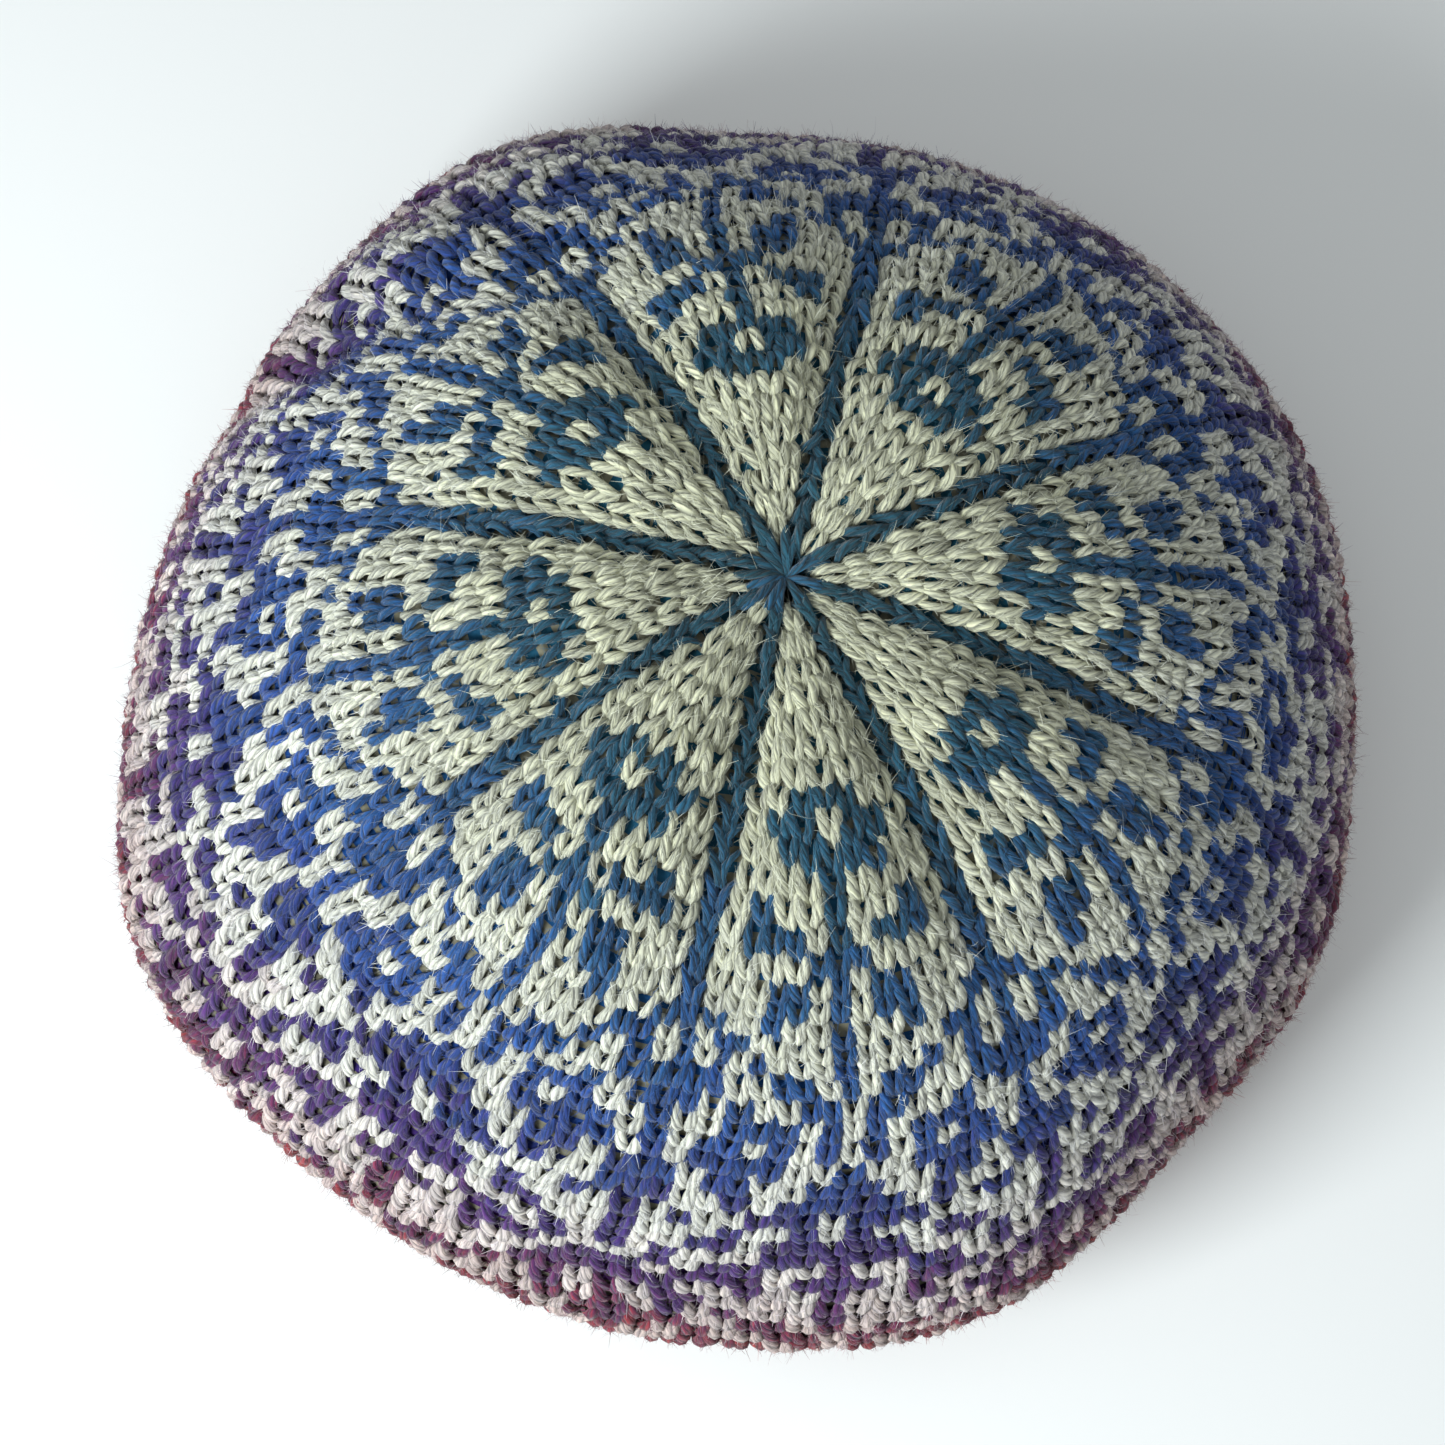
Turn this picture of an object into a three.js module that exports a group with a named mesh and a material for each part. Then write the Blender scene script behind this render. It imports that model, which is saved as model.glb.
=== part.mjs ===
// Fair isle knit hat with a wheel crown of eight puffed wedges, standing on its ribbed band.
// Millimetres, +Z up. The origin is the middle of the hat's plan, on the surface it stands on.
// The front of the hat faces -Y. Bearings are degrees clockwise from the back (+Y), seen from above.
import * as THREE from 'three';

// Sizes of the whole hat
const RIM_RADIUS = 115;
const RIM_HEIGHT = 36;
const CROWN_RISE = 80;
const CROWN_SHIFT_RIGHT = 8.5;
const CROWN_SHIFT_BACK = 4.5;

// Sizes of the cloth
const WALL = 3.0;
const SEAM_GAP = 0.3;
const WEDGE_PUFF = 7.0;
const FOLD_DEPTH = 6.0;

// Sizes of the ribbed band
const BAND_RADIUS = 86;
const BAND_HEIGHT = 21;
const BAND_WALL = 3.2;
const BAND_PULL_IN = 1.5;
const RIB_COUNT = 32;
const RIB_DEPTH = 1.2;
const RIB_FADE = 5;

// Sizes of the gathered centre
const GATHER_RADIUS = 6.0;
const GATHER_THICKNESS = 4.0;
const GATHER_LOBE = 0.8;
const GATHER_DISH = 1.0;

// How finely the cloth is faceted
const STEPS_PER_WEDGE = 8;
const ROUNDS_PER_STEP = 2;
const STEPS_PER_RIB = 4;
const STEPS_PER_LOBE = 4;

// The knitting is counted in rounds from the crown centre outward. The spines of the wheel end at
// SPINE_ROUND, the cloth is widest at the last round of TOP_SECTIONS and meets the band at the
// last round of UNDER_SECTIONS.
const SPINE_ROUND = 18;

// reach: share of RIM_RADIUS. rise: share of CROWN_RISE above the rim. puff: share of WEDGE_PUFF.
// uneven: share of the uneven outline. spread: share of the spines' own spread.
// right, back: shares of the crown's shift from the middle.
const TOP_SECTIONS = [
  { round: 0, reach: 0.0, rise: 1.0, puff: 0.0, uneven: 0.0, spread: 0.3, right: 1.0, back: 1.0 },
  { round: 2, reach: 0.074, rise: 1.003, puff: 0.2, uneven: 0.0, spread: 0.35, right: 1.0, back: 0.97 },
  { round: 6, reach: 0.212, rise: 0.99, puff: 0.75, uneven: 0.0, spread: 0.5, right: 1.0, back: 0.9 },
  { round: 10, reach: 0.347, rise: 0.958, puff: 1.0, uneven: 0.05, spread: 0.7, right: 0.98, back: 0.8 },
  { round: 14, reach: 0.481, rise: 0.9, puff: 0.95, uneven: 0.12, spread: 0.9, right: 0.94, back: 0.6 },
  { round: 18, reach: 0.603, rise: 0.83, puff: 0.6, uneven: 0.25, spread: 1.0, right: 0.85, back: 0.42 },
  { round: 20, reach: 0.654, rise: 0.784, puff: 0.42, uneven: 0.35, spread: 1.0, right: 0.79, back: 0.38 },
  { round: 22, reach: 0.7, rise: 0.737, puff: 0.28, uneven: 0.45, spread: 0.95, right: 0.72, back: 0.34 },
  { round: 26, reach: 0.768, rise: 0.63, puff: 0.1, uneven: 0.65, spread: 0.8, right: 0.52, back: 0.3 },
  { round: 30, reach: 0.836, rise: 0.508, puff: 0.03, uneven: 0.8, spread: 0.55, right: 0.34, back: 0.23 },
  { round: 34, reach: 0.899, rise: 0.368, puff: 0.0, uneven: 0.92, spread: 0.3, right: 0.18, back: 0.15 },
  { round: 38, reach: 0.955, rise: 0.208, puff: 0.0, uneven: 0.97, spread: 0.1, right: 0.06, back: 0.05 },
  { round: 41, reach: 0.988, rise: 0.086, puff: 0.0, uneven: 1.0, spread: 0.0, right: 0.0, back: 0.0 },
  { round: 43, reach: 1.0, rise: 0.0, puff: 0.0, uneven: 1.0, spread: 0.0, right: 0.0, back: 0.0 },
];

// reach: share of the way from the band out to the rim. rise: share of the way from the height
// where the cloth joins the band up to the rim.
const UNDER_SECTIONS = [
  { round: 45, reach: 0.95, rise: 0.62, puff: 0.0, uneven: 0.97, spread: 0.0, right: 0.0, back: 0.0 },
  { round: 48, reach: 0.77, rise: 0.16, puff: 0.0, uneven: 0.8, spread: 0.0, right: 0.0, back: 0.0 },
  { round: 51, reach: 0.46, rise: -0.13, puff: 0.0, uneven: 0.5, spread: 0.0, right: 0.0, back: 0.0 },
  { round: 53, reach: 0.2, rise: -0.12, puff: 0.0, uneven: 0.2, spread: 0.0, right: 0.0, back: 0.0 },
  { round: 54, reach: 0.08, rise: -0.01, puff: 0.0, uneven: 0.05, spread: 0.0, right: 0.0, back: 0.0 },
  { round: 55, reach: 0.0, rise: 0.0, puff: 0.0, uneven: 0.0, spread: 0.0, right: 0.0, back: 0.0 },
];

// Where the eight spines of the wheel lie, and how far each one reaches, as a share of the
// section's radius.
const SPINES = [
  { bearing: 14, reach: 0.97 },
  { bearing: 63, reach: 0.965 },
  { bearing: 109, reach: 1.0 },
  { bearing: 150, reach: 1.01 },
  { bearing: 192, reach: 0.99 },
  { bearing: 239, reach: 0.935 },
  { bearing: 284, reach: 0.985 },
  { bearing: 330, reach: 0.95 },
];

// The uneven outline of the soft rim, at even bearings from the back. reach: share of RIM_RADIUS.
const OUTLINE = [
  { reach: 1.003 },
  { reach: 1.02 },
  { reach: 1.041 },
  { reach: 1.036 },
  { reach: 0.998 },
  { reach: 1.002 },
  { reach: 0.973 },
  { reach: 1.015 },
  { reach: 0.984 },
  { reach: 0.968 },
  { reach: 0.972 },
  { reach: 1.008 },
  { reach: 0.971 },
  { reach: 0.962 },
  { reach: 0.994 },
  { reach: 1.057 },
];

// Folds in the soft cloth. width: degrees of bearing. length: rounds. slant: degrees of bearing
// for each round toward the rim. push: share of FOLD_DEPTH, outward where it is positive.
const FOLDS = [
  { bearing: 309, round: 33, width: 6, length: 7, slant: -0.8, push: -1.0 },
  { bearing: 320, round: 30, width: 6, length: 7, slant: -0.8, push: 0.7 },
];

const LAST_ROUND = UNDER_SECTIONS[UNDER_SECTIONS.length - 1].round;

// The gap between crown and body at the spines' feet, as a share of a round.
const HALF_SEAM = 0.04;

// Room for the corners of the faceted cloth to clear the round band.
const WIDEST_FACET = THREE.MathUtils.degToRad(50 / STEPS_PER_WEDGE);
const JOIN_RADIUS = (BAND_RADIUS + SEAM_GAP) / Math.cos(WIDEST_FACET / 2);
const JOIN_HEIGHT = BAND_HEIGHT - WALL;

// One list of sections in millimetres, from the crown centre to the band.
const SECTIONS = [
  ...TOP_SECTIONS.map((s) => ({
    ...s,
    radius: s.reach * RIM_RADIUS,
    height: RIM_HEIGHT + s.rise * CROWN_RISE,
  })),
  ...UNDER_SECTIONS.map((s) => ({
    ...s,
    radius: JOIN_RADIUS + s.reach * (RIM_RADIUS - JOIN_RADIUS),
    height: JOIN_HEIGHT + s.rise * (RIM_HEIGHT - JOIN_HEIGHT),
  })),
];

// A smooth curve through the values of one column, with the slope at each row taken from its
// neighbours.
function alongSections(column, round) {
  const rows = SECTIONS;
  let i = 0;
  while (i < rows.length - 2 && round > rows[i + 1].round) i += 1;
  const slope = (k) => {
    const before = rows[Math.max(k - 1, 0)];
    const after = rows[Math.min(k + 1, rows.length - 1)];
    return (after[column] - before[column]) / (after.round - before.round);
  };
  const span = rows[i + 1].round - rows[i].round;
  const t = (round - rows[i].round) / span;
  const start = rows[i][column] * (1 + 2 * t) * (1 - t) ** 2;
  const end = rows[i + 1][column] * t * t * (3 - 2 * t);
  const bend = span * (slope(i) * t * (1 - t) ** 2 - slope(i + 1) * t * t * (1 - t));
  return start + end + bend;
}

// The bearing of a place that is counted in wedges: whole numbers are spines.
function bearingAt(turn) {
  const count = SPINES.length;
  const wedge = Math.floor(turn);
  const here = ((wedge % count) + count) % count;
  const next = (here + 1) % count;
  const from = SPINES[here].bearing;
  const to = SPINES[next].bearing + (next < here ? 360 : 0);
  return from + (turn - wedge) * (to - from);
}

// The share of the rim's radius at a bearing, rounded between the rows of the table.
function outlineAt(bearing) {
  const count = OUTLINE.length;
  const place = (((bearing % 360) + 360) % 360) * (count / 360);
  const i = Math.floor(place) % count;
  const t = place - Math.floor(place);
  const p = [-1, 0, 1, 2].map((k) => OUTLINE[(i + k + count) % count].reach);
  const linear = (p[2] - p[0]) / 2;
  const square = p[0] - 2.5 * p[1] + 2 * p[2] - p[3] / 2;
  const cube = (p[3] - p[0]) / 2 + 1.5 * (p[1] - p[2]);
  return p[1] + t * (linear + t * (square + t * cube));
}

// How far the folds push the cloth outward.
function foldPush(bearing, round) {
  let push = 0;
  for (const fold of FOLDS) {
    const beyond = round - fold.round;
    const away = ((((bearing - fold.bearing - beyond * fold.slant) % 360) + 540) % 360) - 180;
    const across = away / fold.width;
    const along = beyond / fold.length;
    push += fold.push * FOLD_DEPTH * Math.exp(-across * across - along * along);
  }
  return push;
}

// Each wedge is full in the middle and falls quickly to the sunk spines at its sides.
function wedgeCrest(turn) {
  const fromMiddle = Math.abs(2 * (turn - Math.floor(turn)) - 1);
  return 1 - fromMiddle ** 2.2;
}

// How far the spines at a wedge's two sides carry the cloth out, eased across the wedge.
function spreadAt(turn) {
  const count = SPINES.length;
  const wedge = Math.floor(turn);
  const t = turn - wedge;
  const here = ((wedge % count) + count) % count;
  const from = SPINES[here].reach;
  const to = SPINES[(here + 1) % count].reach;
  return from + (to - from) * t * t * (3 - 2 * t);
}

// A point of the cloth's outer face. turn counts wedges round the hat, round counts knitted rounds.
function clothPoint(turn, round) {
  const bearing = bearingAt(turn);
  const angle = THREE.MathUtils.degToRad(bearing);
  const step = 0.5;
  const slopeR = alongSections('radius', round + step) - alongSections('radius', round - step);
  const slopeZ = alongSections('height', round + step) - alongSections('height', round - step);
  const slope = Math.hypot(slopeR, slopeZ);
  const push = wedgeCrest(turn) * alongSections('puff', round) * WEDGE_PUFF + foldPush(bearing, round);
  const uneven = 1 + (outlineAt(bearing) - 1) * alongSections('uneven', round);
  const spread = 1 + (spreadAt(turn) - 1) * alongSections('spread', round);
  const radius = alongSections('radius', round) * uneven * spread - (push * slopeZ) / slope;
  const height = alongSections('height', round) + (push * slopeR) / slope;
  return new THREE.Vector3(
    radius * Math.sin(angle) + CROWN_SHIFT_RIGHT * alongSections('right', round),
    radius * Math.cos(angle) + CROWN_SHIFT_BACK * alongSections('back', round),
    height,
  );
}

// The same point on the inner face, one wall behind the outer one.
function liningPoint(turn, round) {
  const turnStep = 0.02;
  const roundStep = 0.2;
  const round0 = Math.min(Math.max(round, roundStep), LAST_ROUND - roundStep);
  const across = clothPoint(turn + turnStep, round0).sub(clothPoint(turn - turnStep, round0));
  const outward = clothPoint(turn, round0 + roundStep).sub(clothPoint(turn, round0 - roundStep));
  const normal = across.cross(outward).normalize();
  return clothPoint(turn, round).addScaledVector(normal, -WALL);
}

// A closed mesh from rings of points. Each ring has the same number of points, they run clockwise
// seen from above, and the rings form a loop: outer face down, edge, inner face up, edge.
function meshFromRings(rings) {
  const columns = rings[0].length;
  const positions = rings.flatMap((ring) => ring.flatMap((p) => [p.x, p.y, p.z]));
  const index = [];
  for (let i = 0; i < rings.length; i += 1) {
    const below = (i + 1) % rings.length;
    for (let j = 0; j < columns; j += 1) {
      const next = (j + 1) % columns;
      const a = i * columns + j;
      const b = i * columns + next;
      const c = below * columns + next;
      const d = below * columns + j;
      index.push(a, b, c, a, c, d);
    }
  }
  const geometry = new THREE.BufferGeometry();
  geometry.setAttribute('position', new THREE.Float32BufferAttribute(positions, 3));
  geometry.setIndex(index);
  geometry.computeVertexNormals();
  return geometry;
}

function clothRing(pointAt, round) {
  const columns = SPINES.length * STEPS_PER_WEDGE;
  return Array.from({ length: columns }, (_, j) => pointAt(j / STEPS_PER_WEDGE, round));
}

// A stretch of the cloth between two rounds, as a closed wall.
function clothShell(fromRound, toRound) {
  const steps = Math.round((toRound - fromRound) / ROUNDS_PER_STEP);
  const rounds = Array.from({ length: steps + 1 }, (_, i) => fromRound + ((toRound - fromRound) * i) / steps);
  const outer = rounds.map((round) => clothRing(clothPoint, round));
  const inner = rounds.map((round) => clothRing(liningPoint, round));
  return meshFromRings([...outer, ...inner.reverse()]);
}

// The round at which the cloth has opened out to a given radius.
function roundAtRadius(radius) {
  let low = 0;
  let high = SPINE_ROUND;
  for (let i = 0; i < 30; i += 1) {
    const middle = (low + high) / 2;
    if (alongSections('radius', middle) < radius) low = middle;
    else high = middle;
  }
  return high;
}

// The ribbed band: an upright ring whose ribs stand out below the seam, on both faces.
function bandGeometry() {
  const columns = RIB_COUNT * STEPS_PER_RIB;
  const levels = [BAND_HEIGHT, BAND_HEIGHT - RIB_FADE, BAND_HEIGHT / 2, 0];
  const ringAt = (face, height) =>
    Array.from({ length: columns }, (_, j) => {
      const angle = (2 * Math.PI * j) / columns;
      const inFurrow = j % STEPS_PER_RIB >= STEPS_PER_RIB / 2;
      const furrow = height < BAND_HEIGHT && inFurrow ? RIB_DEPTH : 0;
      const pullIn = BAND_PULL_IN * (1 - height / BAND_HEIGHT);
      const radius = BAND_RADIUS - pullIn - furrow - (face === 'inner' ? BAND_WALL : 0);
      return new THREE.Vector3(radius * Math.sin(angle), radius * Math.cos(angle), height);
    });
  const outer = levels.map((height) => ringAt('outer', height));
  const inner = levels.map((height) => ringAt('inner', height));
  return meshFromRings([...outer, ...inner.reverse()]);
}

// The drawn-up centre: a dished button with a lobe for each wedge.
function gatherGeometry(top) {
  const columns = SPINES.length * STEPS_PER_LOBE;
  const ringAt = (share, height) =>
    Array.from({ length: columns }, (_, j) => {
      const turn = j / STEPS_PER_LOBE;
      const angle = THREE.MathUtils.degToRad(bearingAt(turn));
      const lobe = (1 - Math.cos(2 * Math.PI * turn)) / 2;
      const radius = share * (GATHER_RADIUS - GATHER_LOBE * lobe);
      return new THREE.Vector3(radius * Math.sin(angle), radius * Math.cos(angle), height);
    });
  const rings = [
    ringAt(0.5, top),
    ringAt(1, top - GATHER_DISH / 2),
    ringAt(1, top - GATHER_THICKNESS),
  ];
  const positions = rings.flatMap((ring) => ring.flatMap((p) => [p.x, p.y, p.z]));
  const topCentre = rings.length * columns;
  const bottomCentre = topCentre + 1;
  positions.push(0, 0, top - GATHER_DISH, 0, 0, top - GATHER_THICKNESS);
  const index = [];
  for (let j = 0; j < columns; j += 1) {
    const next = (j + 1) % columns;
    index.push(topCentre, next, j);
    for (let i = 0; i < rings.length - 1; i += 1) {
      const a = i * columns + j;
      const b = i * columns + next;
      index.push(a, b, b + columns, a, b + columns, a + columns);
    }
    const last = (rings.length - 1) * columns;
    index.push(bottomCentre, last + j, last + next);
  }
  const geometry = new THREE.BufferGeometry();
  geometry.setAttribute('position', new THREE.Float32BufferAttribute(positions, 3));
  geometry.setIndex(index);
  geometry.computeVertexNormals();
  return geometry;
}

const patternedKnit = new THREE.MeshStandardMaterial({ color: 0x8f9db4, roughness: 0.95, metalness: 0 });
const violetKnit = new THREE.MeshStandardMaterial({ color: 0x9a8cb8, roughness: 0.95, metalness: 0 });
const redRib = new THREE.MeshStandardMaterial({ color: 0x8c3038, roughness: 0.95, metalness: 0 });
const tealGather = new THREE.MeshStandardMaterial({ color: 0x2f5f7d, roughness: 0.95, metalness: 0 });

function namedMesh(name, geometry, material) {
  const mesh = new THREE.Mesh(geometry, material);
  mesh.name = name;
  return mesh;
}

const gatherRound = roundAtRadius(GATHER_RADIUS + SEAM_GAP);
const crownWheel = namedMesh('crown_wheel', clothShell(gatherRound, SPINE_ROUND - HALF_SEAM), patternedKnit);
const body = namedMesh('body', clothShell(SPINE_ROUND + HALF_SEAM, LAST_ROUND), violetKnit);
const ribBand = namedMesh('rib_band', bandGeometry(), redRib);
const crownGather = namedMesh('crown_gather', gatherGeometry(alongSections('height', gatherRound)), tealGather);
crownGather.position.set(CROWN_SHIFT_RIGHT, CROWN_SHIFT_BACK, 0);

// The uneven rim's middle, seen from above, is the middle of the hat.
const rimBox = new THREE.Box3().setFromObject(body);
const rimMiddle = rimBox.getCenter(new THREE.Vector3());

const hat = new THREE.Group();
hat.name = 'fair_isle_knit_hat';
hat.add(crownGather, crownWheel, body, ribBand);
hat.position.set(-rimMiddle.x, -rimMiddle.y, 0);

export default hat;
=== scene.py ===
# %% [markdown]
# # A fair isle tam, stitch by stitch
#
# The real object is a soft wool hat, knitted in the round with two yarns at a time: a plain cream
# and a yarn that is dyed in a long run from teal to brick red. Its eight wedges meet in a wheel at
# the crown. A knitted pattern could be drawn on a smooth shell, but then its edges are sharp and
# nothing casts a shadow. Here each stitch is made as its two legs of yarn, laid on the shape of the
# cloth, and the pattern is only the choice of yarn for each stitch, as it is on the needles.

import math

import bpy
import numpy as np
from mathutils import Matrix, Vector


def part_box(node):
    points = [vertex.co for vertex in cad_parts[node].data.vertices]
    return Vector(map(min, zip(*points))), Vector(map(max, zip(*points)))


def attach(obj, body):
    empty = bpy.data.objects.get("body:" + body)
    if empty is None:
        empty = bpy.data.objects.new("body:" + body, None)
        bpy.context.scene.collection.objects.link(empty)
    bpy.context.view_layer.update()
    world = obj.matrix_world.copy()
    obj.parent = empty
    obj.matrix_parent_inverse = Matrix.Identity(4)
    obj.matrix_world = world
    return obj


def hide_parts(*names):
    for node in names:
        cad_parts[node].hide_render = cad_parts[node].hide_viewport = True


MM = 0.001

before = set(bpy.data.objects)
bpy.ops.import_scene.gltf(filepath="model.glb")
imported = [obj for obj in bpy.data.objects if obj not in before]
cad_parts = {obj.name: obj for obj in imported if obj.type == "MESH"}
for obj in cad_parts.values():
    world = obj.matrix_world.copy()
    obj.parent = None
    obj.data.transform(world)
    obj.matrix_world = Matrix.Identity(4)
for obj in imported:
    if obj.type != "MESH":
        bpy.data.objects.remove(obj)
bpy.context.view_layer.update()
band_low, band_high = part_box("rib_band")
band_middle = [(low + high) / 2 for low, high in zip(band_low, band_high)]
print("band middle:", [round(v, 4) for v in band_middle])

# %% [markdown]
# ## The shape of the cloth
#
# The cloth is a surface with two directions. A turn counts wedges round the hat, and whole turns
# are the sunk spines of the wheel. A round counts knitted rounds from the crown centre outward.
# Two tables give the profile, others the uneven spines, outline and folds of a soft hat, and smooth
# curves run between their rows. The hat could be sculpted instead, but a surface given by numbers
# can say where each stitch lies. Everything later asks it.

# %% Sizes of the hat in millimetres, and its profile
RIM_RADIUS = 115
RIM_HEIGHT = 36
CROWN_RISE = 80
CROWN_SHIFT_RIGHT = 8.5
CROWN_SHIFT_BACK = 4.5
WALL = 3.0
WEDGE_PUFF = 7.0
FOLD_DEPTH = 6.0
BAND_RADIUS = 86
BAND_HEIGHT = 21
BAND_WALL = 3.2
BAND_PULL_IN = 1.5
RIB_DEPTH = 1.2
BAND_CLEARANCE = 0.43
# The cloth's underside starts just outside the band.
JOIN_RADIUS = BAND_RADIUS + BAND_CLEARANCE
JOIN_HEIGHT = BAND_HEIGHT - WALL

# round, reach, rise, puff, uneven, spread, right, back, as shares of the sizes above
TOP_SECTIONS = [
    (0, 0.0, 1.0, 0.0, 0.0, 0.3, 1.0, 1.0),
    (2, 0.074, 1.003, 0.2, 0.0, 0.35, 1.0, 0.97),
    (6, 0.212, 0.99, 0.75, 0.0, 0.5, 1.0, 0.9),
    (10, 0.347, 0.958, 1.0, 0.05, 0.7, 0.98, 0.8),
    (14, 0.481, 0.9, 0.95, 0.12, 0.9, 0.94, 0.6),
    (18, 0.603, 0.83, 0.6, 0.25, 1.0, 0.85, 0.42),
    (20, 0.654, 0.784, 0.42, 0.35, 1.0, 0.79, 0.38),
    (22, 0.7, 0.737, 0.28, 0.45, 0.95, 0.72, 0.34),
    (26, 0.768, 0.63, 0.1, 0.65, 0.8, 0.52, 0.3),
    (30, 0.836, 0.508, 0.03, 0.8, 0.55, 0.34, 0.23),
    (34, 0.899, 0.368, 0.0, 0.92, 0.3, 0.18, 0.15),
    (38, 0.955, 0.208, 0.0, 0.97, 0.1, 0.06, 0.05),
    (41, 0.988, 0.086, 0.0, 1.0, 0.0, 0.0, 0.0),
    (43, 1.0, 0.0, 0.0, 1.0, 0.0, 0.0, 0.0),
]
# The same columns from the rim in to the band. Reach and rise are shares of the way between them.
UNDER_SECTIONS = [
    (45, 0.95, 0.62, 0.0, 0.97, 0.0, 0.0, 0.0),
    (48, 0.77, 0.16, 0.0, 0.8, 0.0, 0.0, 0.0),
    (51, 0.46, -0.13, 0.0, 0.5, 0.0, 0.0, 0.0),
    (53, 0.2, -0.12, 0.0, 0.2, 0.0, 0.0, 0.0),
    (54, 0.08, -0.01, 0.0, 0.05, 0.0, 0.0, 0.0),
    (55, 0.0, 0.0, 0.0, 0.0, 0.0, 0.0, 0.0),
]
# Each spine's bearing, clockwise from the back, and its reach as a share of the profile's.
SPINE_BEARINGS = (14, 63, 109, 150, 192, 239, 284, 330)
SPINE_REACHES = (0.97, 0.965, 1.0, 1.01, 0.99, 0.935, 0.985, 0.95)
# The rim's reach at sixteen even bearings, clockwise from the back.
OUTLINE = (
    1.003, 1.02, 1.041, 1.036, 0.998, 1.002, 0.973, 1.015,
    0.984, 0.968, 0.972, 1.008, 0.971, 0.962, 0.994, 1.057,
)
FOLDS = (
    # bearing, round, width, length, slant, push
    (309, 33, 6, 7, -0.8, -1.0),
    (320, 30, 6, 7, -0.8, 0.7),
)
WEDGES = len(SPINE_BEARINGS)


def section_in_mm(row, inner_radius, radius_span, low, height_span):
    """One row of the profile with its first two shares turned to millimetres."""
    return (row[0], inner_radius + row[1] * radius_span, low + row[2] * height_span, *row[3:])


TOP_SPAN = (0, RIM_RADIUS, RIM_HEIGHT, CROWN_RISE)
UNDER_SPAN = (JOIN_RADIUS, RIM_RADIUS - JOIN_RADIUS, JOIN_HEIGHT, RIM_HEIGHT - JOIN_HEIGHT)
SECTIONS = np.array(
    [section_in_mm(row, *TOP_SPAN) for row in TOP_SECTIONS]
    + [section_in_mm(row, *UNDER_SPAN) for row in UNDER_SECTIONS],
    dtype=float,
)
RADIUS, HEIGHT, PUFF, UNEVEN, SPREAD, RIGHT, BACK = range(1, 8)
LAST_ROUND = SECTIONS[-1, 0]
print("profile rows:", len(SECTIONS), "last round:", LAST_ROUND)

# %% Smooth curves through the tables
SECTION_SLOPES = (np.roll(SECTIONS, -1, axis=0) - np.roll(SECTIONS, 1, axis=0)) / (
    np.roll(SECTIONS[:, :1], -1, axis=0) - np.roll(SECTIONS[:, :1], 1, axis=0)
)
SECTION_SLOPES[0] = (SECTIONS[1] - SECTIONS[0]) / (SECTIONS[1, 0] - SECTIONS[0, 0])
SECTION_SLOPES[-1] = (SECTIONS[-1] - SECTIONS[-2]) / (SECTIONS[-1, 0] - SECTIONS[-2, 0])


def along_sections(column, rounds):
    """A smooth curve through one column of the profile."""
    i = np.clip(np.searchsorted(SECTIONS[:, 0], rounds) - 1, 0, len(SECTIONS) - 2)
    span = SECTIONS[i + 1, 0] - SECTIONS[i, 0]
    t = (rounds - SECTIONS[i, 0]) / span
    start = SECTIONS[i, column] * (1 + 2 * t) * (1 - t) ** 2
    end = SECTIONS[i + 1, column] * t * t * (3 - 2 * t)
    leaving = SECTION_SLOPES[i, column] * t * (1 - t) ** 2
    arriving = SECTION_SLOPES[i + 1, column] * t * t * (1 - t)
    return start + end + span * (leaving - arriving)


def bearing_at(turns):
    """Degrees clockwise from the back, seen from above."""
    bearings = np.array(SPINE_BEARINGS, dtype=float)
    wedge = np.floor(turns).astype(int)
    here = wedge % WEDGES
    following = (here + 1) % WEDGES
    to = bearings[following] + np.where(following < here, 360.0, 0.0)
    return bearings[here] + (turns - wedge) * (to - bearings[here])


def outline_at(bearings):
    """The soft rim's uneven reach, rounded between the values given for even bearings."""
    shares = np.array(OUTLINE)
    place = (bearings % 360) * (len(shares) / 360)
    i = np.floor(place).astype(int)
    t = place - i
    before, here, after, beyond = (shares[(i + k) % len(shares)] for k in (-1, 0, 1, 2))
    linear = (after - before) / 2
    square = before - 2.5 * here + 2 * after - beyond / 2
    cube = (beyond - before) / 2 + 1.5 * (here - after)
    return here + t * (linear + t * (square + t * cube))


def fold_push(bearings, rounds):
    """How far the two folds at the back left push the cloth outward, in millimetres."""
    push = np.zeros_like(bearings)
    for bearing, middle, width, length, slant, share in FOLDS:
        beyond = rounds - middle
        away = (bearings - bearing - beyond * slant + 180) % 360 - 180
        push += share * FOLD_DEPTH * np.exp(-((away / width) ** 2) - (beyond / length) ** 2)
    return push


# How flat the top of a wedge is: 2 is a plain arc.
CREST_POWER = 2.2


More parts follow.
